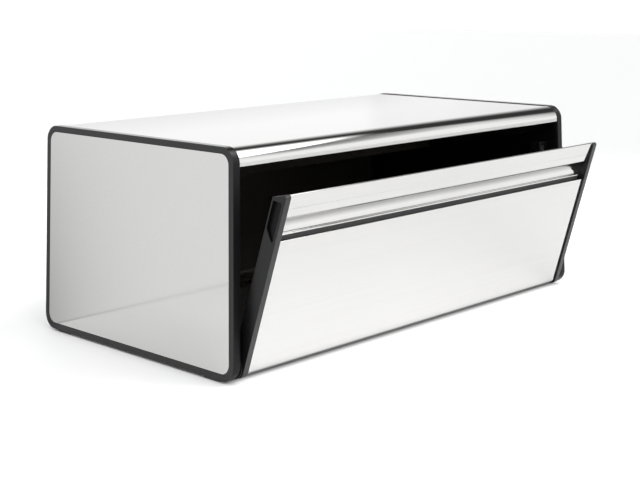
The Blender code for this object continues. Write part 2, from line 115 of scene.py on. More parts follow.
# ---------------------------------------------------------------- materials
class Graph:
    """Small helper that wires shader nodes."""

    def __init__(self, name):
        self.mat = bpy.data.materials.new(name)
        self.mat.use_nodes = True
        self.tree = self.mat.node_tree
        self.bsdf = self.tree.nodes["Principled BSDF"]
        self.out = self.tree.nodes["Material Output"]

    def node(self, kind, **settings):
        n = self.tree.nodes.new(kind)
        for k, v in settings.items():
            if k in n.inputs:
                n.inputs[k].default_value = v
            else:
                setattr(n, k, v)
        return n

    def link(self, a, b):
        self.tree.links.new(a, b)

    def coords(self, scale=(1, 1, 1), rot=(0, 0, 0)):
        tc = self.node("ShaderNodeTexCoord")
        mp = self.node("ShaderNodeMapping")
        mp.inputs["Scale"].default_value = scale
        mp.inputs["Rotation"].default_value = rot
        self.link(tc.outputs["Object"], mp.inputs["Vector"])
        return mp.outputs["Vector"]

    def noise(self, vec, scale, detail=2.0, rough=0.5, distortion=0.0):
        n = self.node("ShaderNodeTexNoise", Scale=scale, Detail=detail,
                      Roughness=rough, Distortion=distortion)
        self.link(vec, n.inputs["Vector"])
        return n.outputs["Fac"]

    def span(self, value, lo_in, hi_in, lo_out, hi_out, smooth=False):
        n = self.node("ShaderNodeMapRange")
        n.interpolation_type = "SMOOTHSTEP" if smooth else "LINEAR"
        n.inputs["From Min"].default_value = lo_in
        n.inputs["From Max"].default_value = hi_in
        n.inputs["To Min"].default_value = lo_out
        n.inputs["To Max"].default_value = hi_out
        self.link(value, n.inputs["Value"])
        return n.outputs["Result"]

    def math(self, op, a, b=None, clamp=False):
        n = self.node("ShaderNodeMath")
        n.operation = op
        n.use_clamp = clamp
        for i, v in enumerate((a, b)):
            if v is None:
                continue
            if isinstance(v, (int, float)):
                n.inputs[i].default_value = v
            else:
                self.link(v, n.inputs[i])
        return n.outputs[0]

    def mix(self, fac, a, b):
        n = self.node("ShaderNodeMix")
        n.data_type = "RGBA"
        for sock, v in ((n.inputs[0], fac), (n.inputs[6], a), (n.inputs[7], b)):
            if isinstance(v, (int, float)):
                sock.default_value = v
            elif isinstance(v, tuple):
                sock.default_value = (*v, 1.0)
            else:
                self.link(v, sock)
        return n.outputs[2]

    def bump(self, height, strength, distance, base=None):
        n = self.node("ShaderNodeBump", Strength=strength, Distance=distance)
        self.link(height, n.inputs["Height"])
        if base is not None:
            self.link(base, n.inputs["Normal"])
        return n.outputs["Normal"]


def steel(name, colour=(0.590, 0.587, 0.578), rough=0.10, brushed=0.5,
          smudges=0.5, seed=0.0, crease=None):
    """Bright stainless sheet: a fine grain along X, hairline scratches and
    faint handling marks that change the gloss."""
    g = Graph(name)
    at = g.coords((1, 1, 1))
    moved = g.node("ShaderNodeVectorMath")
    moved.operation = "ADD"
    moved.inputs[1].default_value = (seed, seed * 0.7, seed * 1.3)
    g.link(at, moved.inputs[0])
    base = moved.outputs[0]

    def stretched(sx, syz):
        mp = g.node("ShaderNodeMapping")
        mp.inputs["Scale"].default_value = (sx, syz, syz)
        g.link(base, mp.inputs["Vector"])
        return mp.outputs["Vector"]

    grain = g.noise(stretched(6.0, 2600.0), 1.0, 3.0, 0.65)
    coarse = g.noise(stretched(2.2, 520.0), 1.0, 2.0, 0.6)
    lines = g.math("ADD", g.math("MULTIPLY", grain, 0.65),
                   g.math("MULTIPLY", coarse, 0.35))
    # a few longer hairlines
    hair = g.noise(stretched(9.0, 1500.0), 1.0, 1.0, 0.4)
    hair = g.span(hair, 0.70, 0.78, 0.0, 1.0, True)
    # handling marks
    cloud = g.noise(base, 14.0, 4.0, 0.55, 0.3)
    cloud = g.span(cloud, 0.42, 0.72, 0.0, 1.0, True)
    fine = g.noise(base, 160.0, 2.0, 0.5)
    marks = g.math("MULTIPLY", cloud, g.span(fine, 0.3, 0.7, 0.5, 1.0))
    r = g.math("ADD", rough, g.math("MULTIPLY", g.span(lines, 0.3, 0.7, -0.5, 0.5),
                                    0.050 * brushed))
    r = g.math("ADD", r, g.math("MULTIPLY", marks, 0.035 * smudges))
    r = g.math("ADD", r, g.math("MULTIPLY", hair, 0.05), clamp=True)
    g.link(r, g.bsdf.inputs["Roughness"])
    dim = tuple(c * 0.955 for c in colour)
    tint = g.mix(g.span(lines, 0.35, 0.65, 0.0, 1.0), dim, colour)
    tint = g.mix(g.math("MULTIPLY", marks, 0.35 * smudges), tint,
                 tuple(c * f for c, f in zip(colour, (0.975, 0.97, 0.955))))
    if crease:
        # painted shade in the scoop: base colour darkened just below the crease at height `top`, fading
        # out lower down
        clear, full, top, darker = crease
        up = g.node("ShaderNodeSeparateXYZ")
        g.link(at, up.inputs[0])
        shade = g.math("MULTIPLY", g.span(up.outputs[2], clear, full, 0.0, darker),
                       g.span(up.outputs[2], top, top + 0.0003, 1.0, 0.0, True))
        tint = g.mix(shade, tint, (0, 0, 0))
    g.link(tint, g.bsdf.inputs["Base Color"])
    g.bsdf.inputs["Metallic"].default_value = 1.0
    n = g.bump(lines, 0.10 * brushed, 0.00002)
    # very slight waviness of thin rolled sheet
    wave = g.noise(base, 7.0, 1.0, 0.4)
    n = g.bump(wave, 0.05, 0.0006, n)
    g.link(n, g.bsdf.inputs["Normal"])
    return g.mat


def plastic(name, colour=(0.012, 0.0125, 0.0135), rough=0.36, grain=1.0,
            edge=0.35, spec=0.42, faces=()):
    """Moulded plastic: fine spark-eroded grain, soft gloss changes and edges
    rubbed slightly lighter. faces lists (axis, signed?, spec, roughness) for
    the sides of the moulding whose texture differs."""
    g = Graph(name)
    at = g.coords()
    fine = g.noise(at, 2400.0, 2.0, 0.6)
    mid = g.noise(at, 700.0, 2.0, 0.5)
    soft = g.noise(at, 22.0, 3.0, 0.55)
    geo = g.node("ShaderNodeNewGeometry")
    worn = g.span(geo.outputs["Pointiness"], 0.515, 0.60, 0.0, 1.0, True)
    worn = g.math("MULTIPLY", worn, g.span(mid, 0.35, 0.65, 0.35, 1.0))
    worn = g.math("MULTIPLY", worn, edge)
    light = tuple(min(1.0, c * 2.1 + 0.012) for c in colour)
    darker = tuple(c * 0.86 for c in colour)
    c = g.mix(g.span(soft, 0.35, 0.65, 0.0, 1.0), darker, colour)
    c = g.mix(worn, c, light)
    g.link(c, g.bsdf.inputs["Base Color"])
    gloss, shine = g.math("ADD", rough, 0.0), g.math("ADD", spec, 0.0)
    if faces:
        facing = g.node("ShaderNodeTexCoord")
        split = g.node("ShaderNodeSeparateXYZ")
        g.link(facing.outputs["Normal"], split.inputs[0])
        for axis, sign, level, r in faces:
            n = split.outputs["XYZ".index(axis)]
            n = g.math("ABSOLUTE", n) if sign == 0 else g.math("MULTIPLY", n, float(sign))
            on = g.span(n, 0.70, 0.95, 0.0, 1.0, True)
            off = g.math("SUBTRACT", 1.0, on)
            gloss = g.math("ADD", g.math("MULTIPLY", gloss, off), g.math("MULTIPLY", on, r))
            shine = g.math("ADD", g.math("MULTIPLY", shine, off), g.math("MULTIPLY", on, level))
    r = g.math("ADD", gloss, g.math("MULTIPLY", g.span(soft, 0.3, 0.7, -0.5, 0.5), 0.08))
    r = g.math("ADD", r, g.math("MULTIPLY", g.span(fine, 0.3, 0.7, -0.5, 0.5), 0.05))
    g.link(r, g.bsdf.inputs["Roughness"])
    g.link(shine, g.bsdf.inputs["Specular IOR Level"])
    h = g.math("ADD", g.math("MULTIPLY", fine, 0.6), g.math("MULTIPLY", mid, 0.4))
    g.link(g.bump(h, 0.22 * grain, 0.00012), g.bsdf.inputs["Normal"])
    return g.mat


def lacquer(name, colour=(0.036, 0.032, 0.028), rough=0.20):
    """Baked dark coating with a trace of orange peel; the same coat also stands in as painted shade in
    the grip rail's groove.
    """
    g = Graph(name)
    at = g.coords()
    peel = g.noise(at, 420.0, 2.0, 0.5)
    soft = g.noise(at, 11.0, 3.0, 0.5)
    g.link(g.mix(soft, tuple(c * 0.8 for c in colour), tuple(c * 1.2 for c in colour)),
           g.bsdf.inputs["Base Color"])
    g.link(g.span(soft, 0.3, 0.7, rough - 0.03, rough + 0.05), g.bsdf.inputs["Roughness"])
    g.link(g.bump(peel, 0.05, 0.0002), g.bsdf.inputs["Normal"])
    g.bsdf.inputs["Specular IOR Level"].default_value = 0.35
    return g.mat


def rubber(name):
    g = Graph(name)
    at = g.coords()
    fine = g.noise(at, 1500.0, 3.0, 0.6)
    soft = g.noise(at, 60.0, 2.0, 0.5)
    g.link(g.mix(g.span(soft, 0.3, 0.7, 0, 1), (0.016, 0.016, 0.017), (0.030, 0.030, 0.030)),
           g.bsdf.inputs["Base Color"])
    g.link(g.span(fine, 0.3, 0.7, 0.68, 0.88), g.bsdf.inputs["Roughness"])
    g.link(g.bump(fine, 0.3, 0.0002), g.bsdf.inputs["Normal"])
    return g.mat


def plated(name, colour=(0.62, 0.62, 0.60), rough=0.28):
    """Bright zinc plating with a mottled gloss."""
    g = Graph(name)
    at = g.coords()
    soft = g.noise(at, 900.0, 3.0, 0.6)
    broad = g.noise(at, 200.0, 2.0, 0.5)
    g.link(g.mix(g.span(broad, 0.35, 0.65, 0, 1), tuple(c * 0.85 for c in colour), colour),
           g.bsdf.inputs["Base Color"])
    g.link(g.span(soft, 0.3, 0.7, rough - 0.08, rough + 0.10), g.bsdf.inputs["Roughness"])
    g.link(g.bump(soft, 0.10, 0.00008), g.bsdf.inputs["Normal"])
    g.bsdf.inputs["Metallic"].default_value = 1.0
    return g.mat


def magnet_mat(name):
    g = Graph(name)
    at = g.coords()
    soft = g.noise(at, 1200.0, 4.0, 0.65)
    g.link(g.mix(soft, (0.020, 0.020, 0.021), (0.045, 0.045, 0.047)), g.bsdf.inputs["Base Color"])
    g.link(g.span(soft, 0.3, 0.7, 0.38, 0.60), g.bsdf.inputs["Roughness"])
    g.link(g.bump(soft, 0.25, 0.0001), g.bsdf.inputs["Normal"])
    g.bsdf.inputs["Metallic"].default_value = 0.3
    return g.mat


M_SHELL = steel("shell_steel", rough=0.055, brushed=0.3, smudges=0.5, seed=0.0)
M_SIDE = steel("side_steel", rough=0.060, brushed=0.3, smudges=0.6, seed=3.1)
M_DOOR = steel("door_steel", rough=0.055, brushed=0.3, smudges=0.5, seed=7.7)
# the rail steel carries painted shade in the scoop below its crease
M_RAIL = steel("rail_steel", rough=0.050, brushed=0.3, smudges=0.4, seed=5.3,
               crease=(PANEL_TOP + 0.0064, PANEL_TOP + 0.0130, PANEL_TOP + 0.0166, 0.62))
M_CAP = plastic("cap_plastic", colour=(0.0038, 0.0039, 0.0042), edge=0.25,
                faces=(("X", 0, 0.38, 0.36), ("Y", -1, 0.15, 0.50), ("Z", 1, 0.50, 0.16)))
M_DCAP = plastic("door_cap_plastic", colour=(0.0038, 0.0039, 0.0042), rough=0.36,
                 spec=0.48, edge=0.25, faces=(("X", 0, 0.29, 0.36),))
# painted shade: the finger recess gets a darker, duller plastic than the cap around it
M_POCKET_SHADE = plastic("pocket_painted_shade", colour=(0.0025, 0.0025, 0.0027), rough=0.55,
                   spec=0.14, edge=0.0)
# painted shade: the groove deep under the grip rail gets dark grey instead of steel
M_GROOVE_SHADE = lacquer("groove_painted_shade", colour=(0.110, 0.110, 0.110), rough=0.35)
M_INNER = lacquer("inner_lacquer")
M_LINER = plastic("liner_plastic", colour=(0.036, 0.033, 0.030), rough=0.30, grain=0.5)
M_RUBBER = rubber("foot_rubber")
M_PIN = plated("plated_steel")
M_MAGNET = magnet_mat("magnet_ferrite")


# ------------------------------------------------------------ mesh helpers
def arc(cy, cz, r, a0, a1, n):
    return [(cy + r * math.cos(math.radians(a0 + (a1 - a0) * i / n)),
             cz + r * math.sin(math.radians(a0 + (a1 - a0) * i / n)))
            for i in range(n + 1)]


def filleted(corners, closed=False):
    out = []
    n = len(corners)
    for i, (y, z, r, steps) in enumerate(corners):
        if r <= 0 or (not closed and i in (0, n - 1)):
            out.append((y, z))
            continue
        p = Vector((y, z))
        a = (Vector(corners[i - 1][:2]) - p).normalized()
        b = (Vector(corners[(i + 1) % n][:2]) - p).normalized()
        half = math.acos(max(-1.0, min(1.0, a.dot(b)))) / 2
        t = r / math.tan(half)
        c = p + (a + b).normalized() * (r / math.sin(half))
        s = p + a * t - c
        e = p + b * t - c
        a0 = math.atan2(s.y, s.x)
        turn = math.atan2(s.x * e.y - s.y * e.x, s.dot(e))
        for k in range(steps + 1):
            w = a0 + turn * k / steps
            out.append((c.x + r * math.cos(w), c.y + r * math.sin(w)))
    return out


def rounded_rect(inset, r, steps=24):
    y = DEPTH / 2 - inset
    a, b = Z0 + inset, Z1 - inset
    return filleted([(-y, a, r, steps), (y, a, r, steps),
                     (y, b, r, steps), (-y, b, r, steps)], closed=True)


def put(name, bm, mat, group=None, smooth=32, at=None):
    mesh = bpy.data.meshes.new(name)
    bm.to_mesh(mesh)
    bm.free()
    obj = bpy.data.objects.new(name, mesh)
    (group or pieces).objects.link(obj)
    for m in (mat if isinstance(mat, (list, tuple)) else [mat]):
        if m:
            mesh.materials.append(m)
    if smooth:
        mesh.shade_smooth()
        mesh.set_sharp_from_angle(angle=math.radians(smooth))
    if at is not None:
        obj.matrix_world = at
    if group is tools:
        obj.hide_render = True
        obj.display_type = "WIRE"
    return obj


def prism(outline, x0, x1):
    bm = bmesh.new()
    ring = [bm.verts.new((x0, y, z)) for y, z in outline]
    for i in range(len(ring)):
        bm.edges.new((ring[i], ring[(i + 1) % len(ring)]))
    face = bmesh.ops.contextual_create(bm, geom=bm.edges[:])["faces"]
    up = bmesh.ops.extrude_face_region(bm, geom=face)["geom"]
    moved = [v for v in up if isinstance(v, bmesh.types.BMVert)]
    bmesh.ops.translate(bm, verts=moved, vec=(x1 - x0, 0, 0))
    bmesh.ops.recalc_face_normals(bm, faces=bm.faces[:])
    return bm


def brick(a, b):
    bm = bmesh.new()
    size = [v - u for u, v in zip(a, b)]
    mid = [(u + v) / 2 for u, v in zip(a, b)]
    bmesh.ops.create_cube(bm, size=1.0, matrix=Matrix.Translation(mid)
                          @ Matrix.Diagonal((*size, 1.0)))
    return bm


def rod(at, r0, r1, length, axis, seg=48):
    axis = Vector(axis).normalized()
    turn = Vector((0, 0, 1)).rotation_difference(axis).to_matrix().to_4x4()
    bm = bmesh.new()
    bmesh.ops.create_cone(bm, cap_ends=True, segments=seg, radius1=r0, radius2=r1,
                          depth=length, matrix=Matrix.Translation(
                              Vector(at) + axis * (length / 2)) @ turn)
    return bm


def lathe(profile, at, axis, seg=48):
    axis = Vector(axis).normalized()
    turn = Vector((0, 0, 1)).rotation_difference(axis).to_matrix().to_4x4()
    bm = bmesh.new()
    ring = [bm.verts.new((r, 0, a)) for a, r in profile]
    n = len(ring)
    on_axis = profile[0][1] < 1e-7 and profile[-1][1] < 1e-7
    for i in range(n - 1 if on_axis else n):
        bm.edges.new((ring[i], ring[(i + 1) % n]))
    bmesh.ops.spin(bm, geom=bm.verts[:] + bm.edges[:], cent=(0, 0, 0),
                   axis=(0, 0, 1), angle=2 * math.pi, steps=seg)
    bmesh.ops.remove_doubles(bm, verts=bm.verts[:], dist=1e-6)
    bmesh.ops.transform(bm, matrix=Matrix.Translation(at) @ turn, verts=bm.verts[:])
    bmesh.ops.recalc_face_normals(bm, faces=bm.faces[:])
    return bm


def bevel(obj, width, segments=3, angle=50):
    m = obj.modifiers.new("rounding", "BEVEL")
    m.width = width
    m.segments = segments
    m.limit_method = "ANGLE"
    m.angle_limit = math.radians(angle)
    m.harden_normals = False
    return m


def cut(obj, tool, kind="DIFFERENCE"):
    m = obj.modifiers.new(kind.lower(), "BOOLEAN")
    m.operation = kind
    m.solver = "EXACT"
    if tool.data.materials:
        m.material_mode = "TRANSFER"
    m.object = tool
    return m


def settle(obj, smooth=32):
    """Turn an object's modifiers into its mesh."""
    bpy.context.view_layer.update()
    dg = bpy.context.evaluated_depsgraph_get()
    new = bpy.data.meshes.new_from_object(obj.evaluated_get(dg), depsgraph=dg)
    old = obj.data
    obj.modifiers.clear()
    obj.data = new
    bpy.data.meshes.remove(old)
    if smooth:
        new.shade_smooth()
        new.set_sharp_from_angle(angle=math.radians(smooth))
    return obj


def weighted(obj):
    m = obj.modifiers.new("normals", "WEIGHTED_NORMAL")
    m.keep_sharp = True
    m.weight = 80
    return m


def folded(name, path, x0, x1, mats, at=None, edge=0.0002, columns=1, inner=0, rim=0):
    """Sheet metal: a path swept along X, thickened inwards, edges eased."""
    bm = bmesh.new()
    line = [bm.verts.new((x0, y, z)) for y, z in path]
    edges = [bm.edges.new((a, b)) for a, b in zip(line, line[1:])]
    for _ in range(columns):
        up = bmesh.ops.extrude_edge_only(bm, edges=edges)["geom"]
        moved = [v for v in up if isinstance(v, bmesh.types.BMVert)]
        bmesh.ops.translate(bm, verts=moved, vec=((x1 - x0) / columns, 0, 0))
        edges = [e for e in up if isinstance(e, bmesh.types.BMEdge)
                 and all(v in moved for v in e.verts)]
    obj = put(name, bm, mats, smooth=30, at=at)
    m = obj.modifiers.new("thickness", "SOLIDIFY")
    m.thickness = SHEET
    m.offset = -1
    m.use_even_offset = True
    m.material_offset = inner
    m.material_offset_rim = rim
    bevel(obj, edge, 2, 60)
    return obj


# ------------------------------------------------------------------- shell
rs = CAP_R - PROUD
lip_z = SHELL_TOP - LIP_DROP
shell_path = filleted([
    (-SHELL_Y + LIP_FLANGE, lip_z - LIP_FLANGE, 0, 0),
    (-SHELL_Y, lip_z, 0.0008, 8),
    (-SHELL_Y, SHELL_TOP, rs, 48),
    (SHELL_Y, SHELL_TOP, rs, 32),
    (SHELL_Y, 0.0, rs, 32),
    (BASE_FRONT, 0.0, 0.0015, 8),
    (BASE_FRONT, BASE_LIP, 0, 0)])
shell = folded("shell", shell_path, -INNER + GAP, INNER - GAP,
               [M_SHELL, M_INNER], inner=1, rim=0)
for sx in (-1, 1):
    for k, y in enumerate(SCREW_YS):
        cut(shell, put(f"sink_{sx}_{k}", rod((sx * SCREW_X, y, -0.0005), 0.0033,
                                             0.0013, 0.0020, (0, 0, 1)),
                       None, tools, None))
settle(shell, 30)
weighted(shell)
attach(shell, "casing")
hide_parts("wrap_shell")


# ---------------------------------------------------------------- end caps
def cross_recess(obj, at, axis, size, depth, tag):
    """Cross-shaped driver recess."""
    axis = Vector(axis).normalized()
    turn = Vector((0, 0, 1)).rotation_difference(axis).to_matrix().to_4x4()
    for k in range(2):
        bm = bmesh.new()
        bmesh.ops.create_cube(bm, size=1.0, matrix=Matrix.Diagonal(
            (size, size * 0.24, depth * 2, 1.0)))
        for v in bm.verts:
            if v.co.z < 0:
                v.co.x *= 0.45
                v.co.y *= 0.6
        bmesh.ops.transform(bm, matrix=Matrix.Translation(at) @ turn
                            @ Matrix.Rotation(k * math.pi / 2, 4, "Z"), verts=bm.verts[:])
        cut(obj, put(f"cross_{tag}_{k}", bm, None, tools, None))


def end_cap(sx, side):
    outer, inner = sx * X_OUT, sx * INNER
    cap = put(f"cap_{side}", prism(rounded_rect(0, CAP_R, 28), outer, inner), M_CAP)
    bevel(cap, 0.00045, 4)

    def tool(name, bm):
        return put(f"{name}_{side}", bm, None, tools, None)

    cut(cap, tool("inlay", prism(rounded_rect(RIM_FACE, CAP_R - RIM_FACE + 0.001),
                                 outer + sx * 0.001, outer - sx * INLAY_DEPTH)))
    web = outer - sx * (INLAY_DEPTH + WEB_T)
    cut(cap, tool("pocket", prism(rounded_rect(0.0047, 0.0085), web, inner - sx * 0.002)))
    cut(cap, tool("boss", rod((web + sx * 0.0006, HINGE.y, HINGE.z), 0.0072, 0.0072,
                              abs(web - inner) + 0.0006, (-sx, 0, 0), 64)), "UNION")
    reach = PROUD + SHEET + GAP
    rim = tool("rim", prism(rounded_rect(reach, CAP_R - reach), inner + sx * 0.0020,
                            inner - sx * 0.0060))
    cut(rim, tool("core", prism(rounded_rect(reach + 0.0030, 0.0085), inner + sx * 0.004,
                                inner - sx * 0.008)))
    xs = sorted((inner - 0.010, inner + 0.010))
    cut(rim, tool("open", brick((xs[0], -0.140, -0.020), (xs[1], -0.1030, 0.200))))
    cut(cap, rim, "UNION")
    for k, y in enumerate(SCREW_YS):
        cut(cap, tool(f"post{k}", rod((sx * SCREW_X, y, 0.0016), 0.0036, 0.0036, 0.0064,
                                      (0, 0, 1))), "UNION")
    for k, y in enumerate(SCREW_YS):
        cut(cap, tool(f"hole{k}", rod((sx * SCREW_X, y, 0.0), 0.0016, 0.0016, 0.0070,
                                      (0, 0, 1), 24)))
    cut(cap, tool("bore", rod((inner - sx * 0.002, HINGE.y, HINGE.z), 0.0023, 0.0023,
                              0.0068, (sx, 0, 0))))
    mid = sx * (X_OUT + INNER) / 2
    for k in ("front", "rear"):
        a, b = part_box(f"foot_{k}_{side}")
        cut(cap, tool(f"seat_{k}", prism_z(stadium(a, b, 0.0003), Z0 - 0.002, Z0 + 0.0010)))
    settle(cap, 32)
    weighted(cap)
    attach(cap, "casing")
    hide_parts(f"end_cap_{side}")
    return cap


def stadium(a, b, grow=0.0):
    """Foot outline in plan: a slot shape inside the box a..b."""
    cx, r = (a.x + b.x) / 2, (b.x - a.x) / 2 + grow
    y0, y1 = a.y + (b.x - a.x) / 2, b.y - (b.x - a.x) / 2
    pts = []
    for i in range(25):
        w = math.pi + math.pi * i / 24
        pts.append((cx + r * math.cos(w), y0 + r * math.sin(w)))
    for i in range(25):
        w = math.pi * i / 24
        pts.append((cx + r * math.cos(w), y1 + r * math.sin(w)))
    return pts


def prism_z(outline, z0, z1):
    bm = bmesh.new()
    ring = [bm.verts.new((x, y, z0)) for x, y in outline]
    for i in range(len(ring)):
        bm.edges.new((ring[i], ring[(i + 1) % len(ring)]))
    face = bmesh.ops.contextual_create(bm, geom=bm.edges[:])["faces"]
    up = bmesh.ops.extrude_face_region(bm, geom=face)["geom"]
    moved = [v for v in up if isinstance(v, bmesh.types.BMVert)]
    bmesh.ops.translate(bm, verts=moved, vec=(0, 0, z1 - z0))
    bmesh.ops.recalc_face_normals(bm, faces=bm.faces[:])
    return bm


for sx, side in ((-1, "left"), (1, "right")):
    end_cap(sx, side)
    # side panel: crisp sheet with eased edges
    a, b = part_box(f"side_panel_{side}")
    panel = put(f"side_sheet_{side}",
                prism(rounded_rect(RIM_FACE + GAP, CAP_R - RIM_FACE + 0.001 - GAP),
                      a.x, b.x), M_SIDE)
    bevel(panel, 0.00018, 2)
    settle(panel, 32)
    weighted(panel)
    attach(panel, "casing")
    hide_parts(f"side_panel_{side}")
    # feet: slot-shaped rubber pads with a shallow grip pattern
    for k in ("front", "rear"):
        a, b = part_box(f"foot_{k}_{side}")
        foot = put(f"pad_{k}_{side}", prism_z(stadium(a, b), a.z, b.z), M_RUBBER)
        for i in range(5):
            y = a.y + 0.0046 + i * (b.y - a.y - 0.0092) / 4
            cut(foot, put(f"groove_{k}_{side}_{i}",
                          brick((a.x - 0.001, y - 0.0005, a.z - 0.001),
                                (b.x + 0.001, y + 0.0005, a.z + 0.0004)),
                          None, tools, None))
        settle(foot, 40)
        bevel(foot, 0.0002, 2, 40)
        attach(foot, "casing")
        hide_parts(f"foot_{k}_{side}")
    # countersunk base screws
    for end, y in zip(("front", "rear"), SCREW_YS):
        at = Vector((sx * SCREW_X, y, 0.0))
        prof = [(0.0001, 0.0), (0.0001, 0.00255), (0.00018, 0.00265), (0.0014, 0.00125),
                (0.0017, 0.00105), (0.0021, 0.00125), (0.0025, 0.00105), (0.0029, 0.00125),
                (0.0033, 0.00105), (0.0037, 0.00125), (0.0041, 0.00105), (0.0045, 0.00125),
                (0.0049, 0.00105), (0.0053, 0.00125), (0.0057, 0.00105), (0.0061, 0.0011),
                (0.0067, 0.0004), (0.0067, 0.0)]
        s = put(f"screw_base_{end}_{side}", lathe(prof, at, (0, 0, 1), 40), M_PIN, smooth=40)
        cross_recess(s, at + Vector((0, 0, 0.0001)), (0, 0, -1), 0.0026, 0.0010,
                     f"b{end}{side}")
        settle(s, 40)
        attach(s, "casing")
        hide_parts(f"base_screw_{end}_{side}")

# -------------------------------------------------------------------- door
panel_path = (arc(STEEL_FRONT + PANEL_FOOT_R, -0.0005, PANEL_FOOT_R, 285, 180, 40)
              + filleted([(STEEL_FRONT, 0.0, 0, 0),
                          (STEEL_FRONT, PANEL_TOP - 0.0027, 0.0005, 8),
                          (STEEL_FRONT + 0.0018, PANEL_TOP - 0.0027, 0, 0)])[1:])
front = folded("door_sheet", panel_path, -PANEL_X + GAP, PANEL_X - GAP,
               [M_DOOR, M_DOOR], at=TO_DOOR)
settle(front, 30)
weighted(front)
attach(front, "door")
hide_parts("door_front_panel")

# grip rail, as (depth behind the front, height above the panel): groove
# (darkened with painted shade), rounded hem, finger scoop, band with a pressed line, sloping return
def on_band(h, sink=0.0):
    return (0.0026 - 0.0012 * (h - 0.0167) / 0.0201 + sink, h)


def scoop(n, behind=0.0):
    """From the crease down to the hem, hollow: steep at first, upright below."""
    d, h, pts = 0.0026, 0.0167, []
    for i in range(n + 1):
        pts.append((d + behind, h))
        gone = SCOOP * i / n
        if gone < UPPER:
            tilt = TILT[0] + (TILT[1] - TILT[0]) * (gone / UPPER) ** 0.8
        else:
            tilt = TILT[1] + (TILT[2] - TILT[1]) * (gone - UPPER) / (SCOOP - UPPER)
        d += SCOOP / n * math.tan(math.radians(tilt))
        h -= SCOOP / n
    return pts


TILT, SCOOP, UPPER = (29.0, 14.0, -7.0), 0.0150, 0.0088
slope = scoop(40)
foot = slope[-1]
grip_outer = (
    filleted([(0.0074, -0.0062, 0, 0), (0.0074, 0.0003, 0.0004, 5),
              (0.0043, 0.0003, 0.0006, 8), (0.0043, 0.0020, 0.0007, 10),
              (foot[0] - 0.0001, foot[1] - 0.0004, 0.0004, 6), foot + (0, 0)])
    + slope[-2:0:-1]
    + [on_band(0.0170), on_band(0.02365), on_band(0.02375, 0.00010),
       on_band(0.02385, 0.00010), on_band(0.02395)]
    + filleted([(*on_band(0.0300), 0, 0), (0.0014, 0.0368, 0.0010, 14),
                (0.0129, 0.0304, 0.0008, 8), (0.0129, 0.0238, 0, 0)])[1:])
grip_inner = ([(0.0121, 0.0238), (0.0121, 0.02993), (0.0023, 0.0354),
               (0.0035, 0.0170)] + scoop(20, 0.0009)[1:]
              + [(0.0083, 0.0007), (0.0083, -0.0062)])
rail = put("grip_rail", prism([(FRONT + d, PANEL_TOP + h)
                               for d, h in grip_outer + grip_inner],
                              -PANEL_X + GAP, PANEL_X - GAP),
           [M_RAIL, M_GROOVE_SHADE], smooth=30, at=TO_DOOR)
# faces low down in the groove take the dark grey, painted shade
for f in rail.data.polygons:
    if f.center.z < PANEL_TOP + 0.0006 and f.center.y > FRONT + 0.0056:
        f.material_index = 1
weighted(rail)
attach(rail, "door")
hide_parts("door_grip_rail")

# inner panel: pressed sheet with eased edges
liner = put("door_liner", brick((-PANEL_X + GAP, REAR - SHEET, 0.0040),
                                (PANEL_X - GAP, REAR, DOOR_TOP_REAR - 0.0004)),
            M_LINER, at=TO_DOOR)
bevel(liner, 0.0003, 2)
SCREW_ZS = (("lower", 0.022), ("upper", 0.096))
for sx, side in ((-1, "left"), (1, "right")):
    for end, z in SCREW_ZS:
        t = put(f"lh_{end}_{side}", rod((sx * (PANEL_X - 0.0048), REAR + 0.001, z),
                                        0.0014, 0.0014, 0.003, (0, -1, 0), 32),
                None, tools, None, at=TO_DOOR)
        cut(liner, t)
settle(liner, 32)
weighted(liner)
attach(liner, "door")
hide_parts("door_inner_panel")


def door_cap(sx, side):
    outline = (arc(FRONT + DOOR_FOOT_R, 0, DOOR_FOOT_R, 180, 282, 36)
               + filleted([(REAR, 0.0, 0, 0), (REAR, DOOR_TOP_REAR, 0.0008, 6),
                           (FRONT, DOOR_TOP, 0.0020, 8), (FRONT, 0.010, 0, 0)]))
    cap = put(f"door_cap_{side}", prism(outline, sx * DOOR_X, sx * PANEL_X), M_DCAP,
              at=TO_DOOR)
    bevel(cap, 0.00045, 4)

    def tool(name, bm):
        return put(f"{name}_{side}", bm, None, tools, None, at=TO_DOOR)

    xs = sorted((sx * (PANEL_X + 0.002), sx * (PANEL_X - 0.0085)))
    cut(cap, tool("tongue", brick((xs[0], STEEL_FRONT + SHEET + GAP, 0.0120),
                                  (xs[1], REAR - SHEET - GAP, 0.1050))), "UNION")
    cut(cap, tool("bushbore", rod((sx * (DOOR_X + 0.001), 0, 0), 0.0039, 0.0039, 0.0058,
                                  (-sx, 0, 0))))
    # finger recess: deep at the back edge, ramping out to the front
    y0, y1 = FRONT + 0.0026, REAR - 0.0017
    top = DOOR_TOP_REAR - 0.0020
    recess = filleted([(y1, top, 0.0010, 6), (y0, top + 0.0016, 0.0012, 6),
                       (y0, 0.1075, 0.0012, 6), (y1, 0.1165, 0.0060, 16)], closed=True)
    bm = prism(recess, sx * (DOOR_X + 0.001), sx * (DOOR_X - 0.0024))
    for v in bm.verts:
        if abs(v.co.x) < DOOR_X:
            k = (v.co.y - y0) / (y1 - y0)
            v.co.x = sx * (DOOR_X - 0.0008 - 0.0018 * max(0.0, min(1.0, k)))
    # the cut faces take the darker recess plastic, painted shade
    cut(cap, put(f"recess_{side}", bm, M_POCKET_SHADE, tools, None, at=TO_DOOR))
    # seat for the strike plate
    xs = sorted((sx * 0.2215, sx * 0.2159))
    cut(cap, tool("seat", brick((xs[0], REAR - 0.0012, 0.1167),
                                (xs[1], REAR + 0.0010, 0.1313))))
    for end, z in SCREW_ZS:
        cut(cap, tool(f"pilot_{end}", rod((sx * (PANEL_X - 0.0048), REAR + 0.001, z),
                                          0.0014, 0.0014, 0.0068, (0, -1, 0), 32)))
    settle(cap, 32)
    weighted(cap)
    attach(cap, "door")
    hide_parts(f"door_end_cap_{side}")


